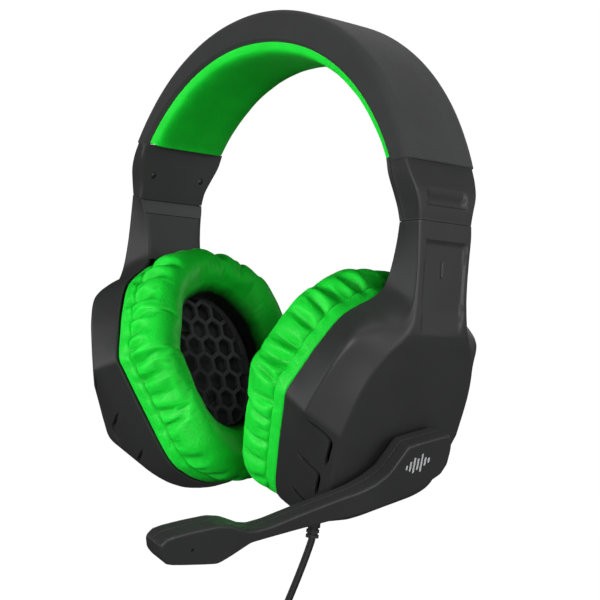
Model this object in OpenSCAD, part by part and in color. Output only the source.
// Closed-back headset with a padded headband, two sliding ear cups and a
// swinging microphone boom on the left cup.
// Millimetres. X = wearer's left, -Y = the way the wearer faces, +Z = up.
// The origin is the crown rest point: the middle of the headband pad's lower face.
// Parts of the sides are drawn on the left (+X) and mirrored for the right.

/* [Headband] */
// Centre height of the band arch below the crown rest point
arch_drop = 29.1; // [28.9:0.1:29.3]
// Radius of the arch's outer face at the crown
arch_outer = 47.4; // [47:0.1:47.8]
// Radius of the arch's inner face at the crown
arch_inner = 35.6; // [35.5:0.1:35.7]
// Half width of the band at its outer face
band_half = 21; // [20:0.1:21.4]
// Half width of the band at its inner face
band_inner_half = 23.2; // [22.8:0.1:23.6]
// Thickness of the textured cover
cover_t = 1.2; // [0.8:0.1:1.3]
// How far the pad stands in from the band
pad_t = 6.5; // [6:0.1:6.5]
// Width of the steel spring strip
spring_w = 16; // [12:1:18]
// Thickness of the steel spring strip
spring_t = 1; // [0.6:0.1:1.0]

/* [Slider] */
// Tilt of the sliding direction outwards from vertical, degrees
slide_tilt = 13; // [12.8:0.1:13.2]
// Width of the slider strap
strap_w = 18; // [14:1:18]
// Thickness of the slider strap
strap_t = 1.5; // [1.2:0.1:1.5]
// Gap between strap and guide on each face
slide_gap = 0.2; // [0.15:0.05:0.25]
// Wall thickness of bracket and arm
wall = 2; // [1.6:0.1:2]

/* [Ear cups] */
// Camber of the ear cup's rim plane, degrees
camber = 23.4; // [23:0.1:23.8]
// Wall thickness of the cup shell
shell_t = 2.4; // [2:0.1:2.6]
// Depth of the ridge around the side of the shell
ridge_h = 14; // [12:0.5:15]
// Thickness of the cushion when not pressed
cushion_t = 26; // [22:0.5:27]
// Half width of the ear opening
ear_half_w = 25.5; // [23:0.5:26]
// Half height of the ear opening
ear_half_h = 30.5; // [28:0.5:31]
// Radius of the driver's basket
driver_r = 20; // [18:0.5:20]
// Pitch of the grille's hexagons
hex_pitch = 9.4; // [6:0.2:12]
// Width of the ribs between the grille's hexagons
hex_rib = 1.9; // [1:0.1:3]

/* [Microphone boom] */
// Depth of the boom over its two shells
boom_d = 9.3; // [8.5:0.1:10]
// Gap between the cup face and the back of the boom
boom_gap = 3; // [2.5:0.1:3.5]
// Radius of the boom's pivot
pivot_r = 5; // [4:0.25:5.5]
// Running gap of the pivot in the cup, on the radius
pivot_gap = 0.05; // [0.03:0.01:0.09]

/* [Cable] */
// Diameter of the cable
cable_d = 3; // [2.6:0.1:3.2]
// Diameter of the stereo plug's pin
plug_d = 3.5; // [3.5]
// Length of the plug's straight pin
plug_len = 12; // [10:0.5:13]

/* [Hidden] */
$fn = 48;
plastic = "#38393b";
plastic_dark = "#232426";
green = "#1edc46";
steel = "#b9bec4";
brass = "#c9a24a";

// ---------- helpers ----------
function lerp(a, b, t) = a + (b - a)*t;
function reversed(list) = [for (k = [len(list)-1:-1:0]) list[k]];
// Points of one half, then the same mirrored in their first coordinate
function both_sides(half) = concat(half, [for (p = reversed(half)) [-p[0], p[1]]]);
// Triangles joining rings 0..last, each to its next ring, in a stack of ring_count rings
function side_faces(ring_count, size, last) = [
  for (i = [0:last], j = [0:size-1])
    let(row = i*size, next = ((i+1)%ring_count)*size, k = (j+1)%size)
    each [[row+j, row+k, next+k], [row+j, next+k, next+j]]];

// Closed solid through a list of rings that all have the same number of points
// flip: turns the faces over, for rings that run the other way round
// caps: faces of the first ring, for rings whose outline is not convex
module loft(rings, flip = false, caps = undef) {
  count = len(rings);
  size = len(rings[0]);
  cap = is_undef(caps) ? [[for (j = [0:size-1]) j]] : caps;
  faces = concat([for (face = cap) reversed(face)],
    side_faces(count, size, count - 2),
    [for (face = cap) [for (k = face) (count-1)*size + k]]);
  polyhedron(points = [for (ring = rings) each ring],
    faces = flip ? [for (face = faces) reversed(face)] : faces, convexity = 8);
}
// Ring-shaped solid through a closed loop of rings
module loop_loft(rings)
  polyhedron(points = [for (ring = rings) each ring],
    faces = side_faces(len(rings), len(rings[0]), len(rings) - 1), convexity = 8);
module right_side() mirror([1, 0, 0]) children();
// Turn local +z to point along +x
module to_x() rotate([0, 90, 0]) children();
// Extrude a (y, z) outline along +x from x0 to x1
module along_x(x0, x1)
  translate([x0, 0, 0]) rotate([90, 0, 90]) linear_extrude(x1 - x0) children();
// Cross-slotted screw along +z with its head's face at z = 0
// shank: [start, length, radius], slot: [length, width, size through the face]
module screw(head_h, head_r, shank, slot) difference() {
  union() {
    cylinder(h = head_h, r = head_r);
    translate([0, 0, shank[0]]) cylinder(h = shank[1], r = shank[2]);
  }
  cube(slot, center = true);
  cube([slot[1], slot[0], slot[2]], center = true);
}

// ---------- headband arch ----------
// A station s runs from -1 at the right end to 1 at the left end.
// Angles of the arch's ends from the crown, degrees
outer_end = 97.9;
inner_end = 99.9;
cover_end = 0.9985;   // last station of cover and pad
core_end = 0.84;      // last station of core and spring
core_half = 19;
core_depths = [0.2, 3.4];
spring_depth = 3.5;
foam_y = [-17.5, 11];
wire_y = 12.8;
wire_r = 0.8;
function rad(a) = a*PI/180;
// Radii of the arch's faces at angle a from the crown
function outer_r(a) = arch_outer + 9.21*pow(rad(a), 2) + 0.6*pow(rad(a), 4);
function inner_r(a) = arch_inner + 9.96*pow(rad(a), 2) + 0.87*pow(rad(a), 4);
function arch_point(r, a) = [r*sin(a), -arch_drop + r*cos(a)];
function outer_point(s) = arch_point(outer_r(s*outer_end), s*outer_end);
function inner_point(s) = arch_point(inner_r(s*inner_end), s*inner_end);
function band_t(s) = norm(inner_point(s) - outer_point(s));
function outer_half(s) = band_half + 0.4*s*s;
function inner_half(s) = band_inner_half - 0.7*s*s;
function half_at(s, depth) = lerp(outer_half(s), inner_half(s), depth/band_t(s));
// Ring at station s through [y, depth in from the outer face] points
function band_ring(s, profile) =
  let(start = outer_point(s), dir = (inner_point(s) - start)/band_t(s))
  [for (p = profile) let(q = start + dir*p[1]) [q[0], p[0], q[1]]];
function stations(end, n = 56) = [for (i = [0:n]) -end + 2*end*i/n];

// Channel that is open towards the head, with bevelled outer edges
module headband_cover() color("#4a4b4d") let(bevel = 1.6, t = cover_t)
  loft([for (s = stations(cover_end)) let(T = band_t(s), w = half_at(s, T), o = outer_half(s))
    band_ring(s, concat(
      both_sides([[-w, T], [-half_at(s, bevel), bevel], [-o + 0.5, 0.4], [-o + bevel, 0]]),
      both_sides([[w - t, T], [o - t - 0.3, t + 0.2]])))],
    true,
    [[0, 1, 10, 11], [1, 2, 10], [2, 3, 10], [3, 4, 9, 10], [4, 5, 9], [5, 6, 9], [6, 7, 8, 9]]);
// Flat strip between two depths measured out from the inner face
module band_strip(near, far, half)
  loft([for (s = stations(core_end)) let(T = band_t(s))
    band_ring(s, both_sides([[-half, T - near], [-half, T - far]]))], true);
module headband_core() color(plastic_dark)
  band_strip(core_depths[0], core_depths[1], core_half);
module spring_band() color(steel)
  band_strip(spring_depth, spring_depth + spring_t, spring_w/2);
module headband_foam() color("#555")
  loft([for (s = stations(0.7, 40)) let(inner = band_t(s) - 4.7, outer = cover_t + 0.6)
    band_ring(s, [[foam_y[0], inner], [foam_y[0], outer], [foam_y[1], outer],
      [foam_y[1], inner]])]);
module headband_pad() color(green)
  loft([for (s = stations(cover_end)) let(T = band_t(s), w = inner_half(s) - 0.6)
    band_ring(s, both_sides([[w - 1.2, T + 0.6], [w, T + 2.5], [w - 1.6, T + 5],
      [w - 5, T + pad_t - 0.4], [w - 10, T + pad_t]]))]);
module headband_wire() color("#111")
  loft([for (s = stations(0.9)) let(depth = band_t(s) - 4.5)
    band_ring(s, [for (k = [0:7])
      [wire_y + wire_r*sin(45*k), depth + wire_r*cos(45*k)]])], true);

// ---------- bracket (fixed housing at each end of the band) ----------
// Housing stations, from the top down:
// [inner x, inner z, outer x, outer z, inner half width, outer half width]
bracket = [
  [70.75, -42.95, 78.35, -40.55, 22.4, 21.4],
  [71.9, -47.4, 81.3, -45.8, 21.8, 20.9],
  [73.2, -53.6, 83.7, -51.6, 20.7, 19.4],
  [74.5, -59.3, 84.6, -57.6, 19.5, 17.6],
  [75.8, -64.9, 84.6, -63.2, 18.6, 16.3]];
plate_t = 1.7;          // inner cover plate
plate_gap = 0.1;        // between plate and outer shell
housing_bevel = 1.2;
function housing_t(q) = norm([q[0] - q[2], q[1] - q[3]]);
function housing_half(q, depth) = lerp(q[5], q[4], depth/housing_t(q));
// Ring at station q through [y, depth in from the outer face] points
function housing_ring(q, profile) = [for (p = profile) let(t = p[1]/housing_t(q))
  [lerp(q[2], q[0], t), p[0], lerp(q[3], q[1], t)]];
// Half of a bevelled housing section, reaching in to a depth
function housing_profile(q, depth) = [[-housing_half(q, depth), depth],
  [-housing_half(q, housing_bevel), housing_bevel], [-q[5] + housing_bevel, 0]];
// Local +z runs outwards along each screw, from the plate's outer side
module at_bracket_screws(z = 0) for (y = [-14.8, 14.8])
  translate([75.2, y, -53.6]) rotate([0, 90 - 12, 0]) translate([0, 0, z]) children();

// Channel as deep as the housing less its plate, with two screw bosses
module bracket_outer() color(plastic) difference() {
  union() {
    loft([for (q = bracket) let(depth = housing_t(q) - plate_t - plate_gap)
      housing_ring(q, concat(both_sides(housing_profile(q, depth)),
        both_sides([[housing_half(q, depth) - wall, depth],
          [housing_half(q, wall) - wall, wall]])))],
      false, [[0, 1, 8, 9], [1, 2, 8], [2, 3, 7, 8], [3, 4, 7], [4, 5, 6, 7]]);
    at_bracket_screws() cylinder(h = 7.4, r = 1.8);
  }
  at_bracket_screws(-1) cylinder(h = 6.5, r = 0.95);
  // finger scoop across the outer face
  translate([84.9, 0, -53.5]) rotate([0, 22, 0]) cube([2.2, 23.4, 5.6], center = true);
}
module bracket_inner() color(plastic) let(bevel = 0.9) difference() {
  loft([for (q = bracket) let(T = housing_t(q), w = q[4])
    housing_ring(q, both_sides([[w, T - plate_t], [w, T - bevel], [w - bevel, T]]))], true);
  at_bracket_screws(-5) {
    cylinder(h = 9, r = 1.15);
    cylinder(h = 4.25, r = 1.5);
  }
}
module bracket_screws() color(steel) at_bracket_screws(-2.05)
  screw(head_h = 1.2, head_r = 1.3, shank = [1.15, 6.2, 0.9], slot = [1.6, 0.4, 1]);

// ---------- slide ----------
// Slide frame: +z up along the strap, x through its thickness
strap_top = 30.5;
strap_bottom = -10;
slot_x = strap_t/2 + slide_gap;   // half thickness of the strap's slot
slot_y = strap_w/2 + slide_gap;   // half width of the strap's slot
guide_z = 2.6;                    // bottom of the guide
guide_wall_x = 1;
guide_wall_y = 1.2;
module slide_frame() translate([79.7, 0, -64.2]) rotate([0, -slide_tilt, 0]) children();
module strap_slot(z, h) translate([-slot_x, -slot_y, z]) cube([2*slot_x, 2*slot_y, h]);
module at_strap_screws(x = 0)
  slide_frame() for (y = [-5, 5]) translate([x, y, -6]) to_x() children();

module slide_guide() color(plastic_dark) slide_frame() difference() {
  union() {
    translate([-slot_x - guide_wall_x, -slot_y - guide_wall_y, guide_z])
      cube([2*(slot_x + guide_wall_x), 2*(slot_y + guide_wall_y), 25]);
    // flange at the bottom
    translate([-1.75, -14, guide_z]) cube([4.4, 28, 1.4]);
  }
  strap_slot(0, 60);
  // window for the detent spring
  translate([slot_x - 0.1, -2.2, 10]) cube([3, 4.4, 14]);
}
// Leaf with a nose towards the strap's notches
module detent_spring() color(steel) slide_frame() union() {
  translate([slot_x + 0.25, -2, 10.3]) cube([0.4, 4, 13.4]);
  translate([slot_x + 0.05, -2, 16.4]) cube([0.3, 4, 1.2]);
}
module slider() color(steel) difference() {
  slide_frame() translate([-strap_t/2, -strap_w/2, strap_bottom])
    cube([strap_t, strap_w, strap_top - strap_bottom]);
  at_strap_screws() cylinder(h = 9, r = 1.1, center = true);
  // notches across the outer face
  slide_frame() for (i = [0:6]) translate([strap_t/2, 0, 26.9 - 3*i])
    rotate([90, 0, 0]) cylinder(h = 5, r = 0.5, center = true);
}
module slider_screws() color(steel) at_strap_screws(-strap_t/2 - 1.3)
  screw(head_h = 1.25, head_r = 2, shank = [1.2, strap_t + 1.5, 0.95], slot = [2.4, 0.5, 1]);

// ---------- ear cup ----------
// Cup frame: x = 0 is the rim plane, +x points out of the cup's outer face.
// Face frame: x = 0 is the flat outer face. Ear frame: cup frame at the ear's centre.
ear_z = -18;
module cup_frame() translate([56.6, 0, -122.4]) rotate([0, camber, 0]) children();
module face_frame() translate([79.54, 0, -132.33]) rotate([0, 17.7, 0]) children();
module ear_frame() cup_frame() translate([0, 0, ear_z]) children();
// Corners of the rear half of each outline about the ear's centre: [y, z]
rim_corners = [[16, 51], [36, 37], [46, 3], [24, -47], [8, -53.5]];
ridge_corners = [[19.5, 47.5], [38.5, 34.5], [48.8, 2.5], [23, -45.5], [8, -52.8]];
face_corners = [[20.6, 43], [31.2, 27], [39, 1], [30.5, -22.5], [21, -29.5]];
// Roundness powers of the outlines; a higher power gives sharper corners
rim_power = 16;
ridge_power = 26;
face_power = 34;
cushion_power = 9;
// [outward normal of edge i, its distance from the centre]
function edge(corners, i) =
  let(a = corners[i], b = corners[(i+1)%len(corners)], along = (b - a)/norm(b - a),
    normal = [-along[1], along[0]], dist = normal*a)
  dist < 0 ? [-normal, -dist] : [normal, dist];
function power_sum(corners, dir, power, i = 0) = i >= len(corners) ? 0 :
  let(e = edge(corners, i))
  pow(max(0, (e[0]*dir)/e[1]), power) + power_sum(corners, dir, power, i+1);
// Radius of the rounded outline, towards angle t from +z
function rounded_r(corners, t, power) =
  pow(power_sum(corners, [sin(t), cos(t)], power), -1/power);
function outline(half, power, inset) = let(corners = both_sides(half), n = 60)
  [for (i = [0:n-1]) let(t = 360*i/n, r = rounded_r(corners, t, power) - inset)
    [r*sin(t), r*cos(t)]];
module slice(half, power, inset, x)
  translate([x, 0, ear_z]) along_x(0, 0.01) polygon(outline(half, power, inset));
module cup_solid(inset, rim_x) hull() {
  cup_frame() slice(rim_corners, rim_power, inset, rim_x);
  cup_frame() slice(ridge_corners, ridge_power, inset, ridge_h - inset*0.2);
  face_frame() slice(face_corners, face_power, inset*0.9, -inset - 0.01);
}

// Arm stations from the top down, columns as in the bracket
arm = [
  [75.95, -65.3, 84.65, -63.6, 18.5, 16.2],
  [74.3, -72.3, 85.05, -72.3, 16.6, 15.7],
  [72.4, -80.3, 85.55, -80.3, 15.5, 15.5],
  [70.9, -86.6, 85.95, -88, 15.1, 16.1],
  [69.7, -92.1, 86.55, -98, 16.4, 17.9],
  [66.9, -98.6, 87.15, -108.2, 20.5, 20.6],
  [62.5, -108.8, 84.4, -117.1, 22, 22]];
arm_room_stations = concat([lerp(arm[0], arm[1], 0.22)], [for (k = [1:6]) arm[k]]);
arm_cover_stations = [lerp(arm[0], arm[1], 0.9), arm[1], arm[2], arm[3],
  lerp(arm[3], arm[4], 0.8)];
module arm_solid() loft([for (q = arm)
  housing_ring(q, both_sides(housing_profile(q, housing_t(q))))]);
// Hollow of the arm, open towards the head
module arm_room() loft([for (q = arm_room_stations)
  housing_ring(q, both_sides([[-q[4] + wall, housing_t(q) + 0.5],
    [-housing_half(q, wall) + wall, wall]]))]);

// Baffle screw posts in the ear frame: [y, z]
posts = [[30, 26], [-30, 26], [27, -28], [-27, -28]];
module at_posts(x) for (p = posts) translate([x, p[0], p[1]]) to_x() children();
// Boom pivot in the face frame
hub_y = 3;
hub_z = -27;
module at_hub(x) translate([x, hub_y, hub_z]) to_x() children();
// Where the cable leaves the left cup
cable_x = 43;
cable_y = -12.5;

// L-shaped cut: a long leg running outwards, and a short leg turning down
module vent_cut(i)
  cup_frame() translate([13.5, -34 + 8.8*i, -18.6 - 17.6*i]) rotate([0, 24, 0]) {
    translate([0, -16, -0.6]) cube([11.5, 20, 1.2]);
    translate([10.3, -16, -8.5]) cube([1.2, 20 + 0.5*i, 8.6]);
  }
module hollow_shell() difference() {
  union() {
    cup_solid(0, 0);
    arm_solid();
  }
  cup_solid(shell_t, -0.5);
  arm_room();
  // slot for the strap in the top of the arm
  slide_frame() strap_slot(-6, 12);
  // shallow panel in the arm's outer face
  translate([85.35, -10.5, -104.5]) rotate([0, -2.9, 0]) cube([3, 22, 34]);
  // three vents in the lower front wall
  for (i = [0:2]) vent_cut(i);
}
module shell_bosses() {
  // bosses for the strap screws
  intersection() {
    at_strap_screws(strap_t/2 + 0.05) cylinder(h = 3.2, r = 2.3);
    arm_solid();
  }
  // posts for the baffle screws
  intersection() {
    cup_solid(0.5, 0);
    ear_frame() at_posts(2.5) cylinder(h = 30, r = 2.6);
  }
}
module cup_shell(has_boom) color(plastic) difference() {
  union() {
    hollow_shell();
    shell_bosses();
  }
  at_strap_screws() cylinder(h = 3.2, r = 1);
  ear_frame() at_posts(2) cylinder(h = 6.5, r = 1.05);
  // the boom's cup also has the pivot bore and the cable hole
  if (has_boom) {
    face_frame() at_hub(-6) cylinder(h = 12, r = pivot_r + pivot_gap);
    translate([cable_x, cable_y, -200]) cylinder(h = 20, r = 3);
  }
}
// Plate over the arm's hollow, on the side towards the head
module arm_cover() color(plastic_dark)
  loft([for (q = arm_cover_stations) let(T = housing_t(q), w = q[4] - wall - 0.35)
    housing_ring(q, both_sides([[w, T - 1.6], [w, T + 0.25]]))], true);

// Radius of the ear opening grown by a margin, towards angle t from +z
function ear_r(t, margin) =
  1/sqrt(pow(sin(t)/(ear_half_w + margin), 2) + pow(cos(t)/(ear_half_h + margin), 2));
module ear_oval(margin)
  polygon([for (i = [0:71]) let(t = 5*i, r = ear_r(t, margin)) [r*sin(t), r*cos(t)]]);
// Plate across the cup with an oval collar towards the ear
module baffle() color(plastic_dark) ear_frame() difference() {
  union() {
    along_x(0.3, 2.3) polygon(outline(rim_corners, rim_power, shell_t + 0.3));
    along_x(-6.5, 0.35) ear_oval(2.7);
  }
  along_x(-7, 0.3) ear_oval(1.2);
  translate([-1, 0, 0]) to_x() cylinder(h = 6, r = driver_r - 2.5);
  at_posts(-1) {
    cylinder(h = 6, r = 1.3);
    cylinder(h = 2.8, r = 2.6);
  }
}
module baffle_screws() color(steel) ear_frame() at_posts(0.45)
  screw(head_h = 1.3, head_r = 2.3, shank = [1.2, 5.8, 1], slot = [2.8, 0.6, 1.2]);
module driver_basket() color("#44484c") ear_frame() to_x() difference() {
  translate([0, 0, 2.4]) union() {
    cylinder(h = 1.6, r = driver_r);
    cylinder(h = 4.6, r = driver_r - 3);
  }
  translate([0, 0, 2]) cylinder(h = 4, r = driver_r - 4.4);
  cylinder(h = 20, r = 8.6);
  for (i = [0:5]) rotate([0, 0, 60*i]) translate([12.2, 0, 0]) cylinder(h = 20, r = 1.8);
}
module driver_magnet() color("#8a8d90") ear_frame() to_x() union() {
  translate([0, 0, 7.05]) cylinder(h = 4, r = 11);
  translate([0, 0, 4.6]) cylinder(h = 2.6, r = 8.5);
}
module diaphragm() color("#c8c8c0") ear_frame() to_x() difference() {
  translate([0, 0, 2.5]) cylinder(h = 1.2, r = driver_r - 4.6);
  translate([0, 0, 2.9]) cylinder(h = 2, r = driver_r - 6.6);
}
module grille() color("#101010") ear_frame() along_x(-8.1, -6.6) difference() {
  ear_oval(2.6);
  intersection() {
    ear_oval(0.6);
    for (i = [-6:6], j = [-6:6])
      translate([hex_pitch*(i + (j%2 == 0 ? 0 : 0.5)), hex_pitch*0.866*j])
        rotate(30) circle(r = (hex_pitch - hex_rib)/1.732, $fn = 6);
  }
}
// Cushion section at angle t: [radius, distance towards the head at 26 thick]
function cushion_profile(t) =
  let(rim = rounded_r(both_sides(rim_corners), t, cushion_power),
    ear = ear_r(t, 0), collar = ear_r(t, 3.1))
  [[collar, 0.3], [collar, 8.5], [ear + 0.8, 10], [ear, 13], [ear + 0.6, 18],
   [lerp(ear, rim, 0.15), 22.6], [lerp(ear, rim, 0.33), 25.2], [lerp(ear, rim, 0.5), 26],
   [lerp(ear, rim, 0.68), 25.2], [lerp(ear, rim, 0.86), 22.6], [rim + 0.4, 18.5],
   [rim + 1, 15], [rim + 0.4, 11.5], [rim - 0.8, 9], [rim - 1, 0.3]];
module cushion() color(green) ear_frame() let(n = 48, scale_x = cushion_t/26)
  loop_loft([for (i = [0:n-1]) let(t = 360*i/n)
    [for (p = cushion_profile(t)) [-p[1]*scale_x, -p[0]*sin(t), p[0]*cos(t)]]]);

// ---------- cable ----------
plug_x = 30;
plug_y = -24;
plug_bottom = -284;
relief_bottom = -197.3;
cable_bore_r = cable_d/2 + 0.1;
module cable_strain_relief() color("#1b1b1b") translate([cable_x, cable_y, 0]) difference() {
  union() {
    translate([0, 0, relief_bottom]) cylinder(h = 14, r = 2.2);
    for (i = [0:1]) translate([0, 0, relief_bottom + 2.1*i]) cylinder(h = 1.2, r = 2.7);
    translate([0, 0, -193]) cylinder(h = 10, r = 2.9);
    translate([0, 0, -184.4]) cylinder(h = 1.4, r = 3.9);
  }
  translate([0, 0, -205]) cylinder(h = 30, r = cable_bore_r);
}
function bezier(a, b, c, d, t) =
  a*pow(1-t, 3) + 3*b*t*pow(1-t, 2) + 3*c*t*t*(1-t) + d*pow(t, 3);
// Straight out of the cup, a curve, then straight into the plug
function cable_point(i) =
  i < 3 ? [cable_x, cable_y, -181 - 8.3*i] :
  i == 27 ? [plug_x, plug_y, -266] :
  bezier([cable_x, cable_y, -198.2], [cable_x - 3, cable_y - 2.6, -217],
    [plug_x, plug_y, -236], [plug_x, plug_y, -256.5], (i - 3)/23);
module cable() color("#151515") loft([for (i = [0:27])
  [for (k = [0:11]) cable_point(i) + cable_d/2*[cos(30*k), sin(30*k), 0]]], true);
module plug_body() color("#202020") translate([plug_x, plug_y, 0]) difference() {
  union() {
    translate([0, 0, plug_bottom]) cylinder(h = 20, r = 4);
    translate([0, 0, plug_bottom + 20]) cylinder(h = 3, r1 = 4, r2 = 2.6);
    for (i = [0:2]) translate([0, 0, -268 - 2.4*i]) cylinder(h = 1.2, r = 4.3);
  }
  translate([0, 0, -266.2]) cylinder(h = 8, r = cable_bore_r);
}
module plug_pin() color(steel) translate([plug_x, plug_y, plug_bottom - 0.05 - plug_len]) {
  cylinder(h = plug_len, r = plug_d/2);
  translate([0, 0, -1.6]) cylinder(h = 1.6, r1 = 0.7, r2 = plug_d/2 - 0.25);
}

// ---------- microphone boom (face frame) ----------
// Edges of the outline: [distance forward, height]; the upper runs forward, the lower back
boom_upper = [[-14, -12.8], [5, -17.8], [13.5, -23.4], [20, -30], [26.5, -34.6],
  [36, -39], [51, -43.8], [71, -48.7], [82, -51], [91, -50.2], [101, -49.2],
  [112, -50.2], [122, -52.4], [126, -54.2]];
boom_lower = [[127, -57.4], [121, -61.6], [113, -63], [101.5, -63], [92, -60.6],
  [84, -58], [70, -55.2], [54, -52], [36, -48], [17.5, -43.9], [3, -41.2],
  [-7.4, -37.2], [-20, -30.6], [-21.4, -26], [-19.6, -18.6], [-17.6, -14.4]];
boom_split = boom_gap + boom_d*0.45;
boom_face = boom_gap + boom_d;
boom_wall = 1.6;
boom_step = 1.2;   // step round the edge of the outer face
module boom_outline(inset) offset(delta = -inset)
  polygon([for (p = concat(boom_upper, boom_lower)) [-p[0], p[1]]]);
module at_mic(x) translate([x, -111, -57]) to_x() children();

module boom_outer_shell() color(plastic) face_frame() difference() {
  union() {
    along_x(boom_split, boom_face - boom_step) boom_outline(0);
    along_x(boom_face - boom_step, boom_face) boom_outline(boom_step);
  }
  along_x(boom_split - 1, boom_face - 1.8) boom_outline(boom_wall);
  // hole over the microphone
  at_mic(0) cylinder(h = 30, r = 0.7);
}
module boom_inner_shell() color(plastic_dark) face_frame() difference() {
  union() {
    difference() {
      along_x(boom_gap, boom_split - 0.1) boom_outline(0);
      along_x(boom_gap + boom_wall, boom_split + 1) boom_outline(boom_wall);
    }
    // spacer disc and pivot
    at_hub(0.25) cylinder(h = boom_gap, r = 8);
    at_hub(-2.9) cylinder(h = 4.5, r = pivot_r);
  }
  at_hub(-4) cylinder(h = 7.4, r = 1.3);
}
module boom_washer() color(steel) face_frame() at_hub(-4) difference() {
  cylinder(h = 1, r = 8.5);
  translate([0, 0, -1]) cylinder(h = 4, r = 1.8);
}
module boom_screw() color(steel) face_frame() at_hub(-6)
  screw(head_h = 1.9, head_r = 3.2, shank = [1.8, 7, 1.25], slot = [4, 0.8, 1.6]);
module mic_capsule() color(brass) face_frame() at_mic(boom_face - 5) cylinder(h = 2.6, r = 3);
module mic_gasket() color("#111") face_frame() at_mic(boom_face - 5.2) difference() {
  cylinder(h = 3.1, r = 3.9);
  translate([0, 0, -1]) cylinder(h = 6, r = 3.05);
}

headband_cover();
headband_foam();
spring_band();
headband_core();
headband_pad();
headband_wire();
bracket_outer();  // left_bracket_outer
bracket_inner();  // left_bracket_inner
bracket_screws();  // left_bracket_screws
slide_guide();  // left_slide_guide
detent_spring();  // left_detent_spring
right_side() bracket_outer();  // right_bracket_outer
right_side() bracket_inner();  // right_bracket_inner
right_side() bracket_screws();  // right_bracket_screws
right_side() slide_guide();  // right_slide_guide
right_side() detent_spring();  // right_detent_spring
cup_shell(has_boom = true);  // left_cup_shell
arm_cover();  // left_arm_cover
slider();  // left_slider
slider_screws();  // left_slider_screws
baffle();  // left_baffle
baffle_screws();  // left_baffle_screws
driver_basket();  // left_driver_basket
driver_magnet();  // left_driver_magnet
diaphragm();  // left_diaphragm
grille();  // left_grille
cushion();  // left_cushion
right_side() cup_shell(has_boom = false);  // right_cup_shell
right_side() arm_cover();  // right_arm_cover
right_side() slider();  // right_slider
right_side() slider_screws();  // right_slider_screws
right_side() baffle();  // right_baffle
right_side() baffle_screws();  // right_baffle_screws
right_side() driver_basket();  // right_driver_basket
right_side() driver_magnet();  // right_driver_magnet
right_side() diaphragm();  // right_diaphragm
right_side() grille();  // right_grille
right_side() cushion();  // right_cushion
cable_strain_relief();
cable();
plug_body();
plug_pin();
boom_outer_shell();
boom_inner_shell();
boom_washer();
boom_screw();
mic_capsule();
mic_gasket();
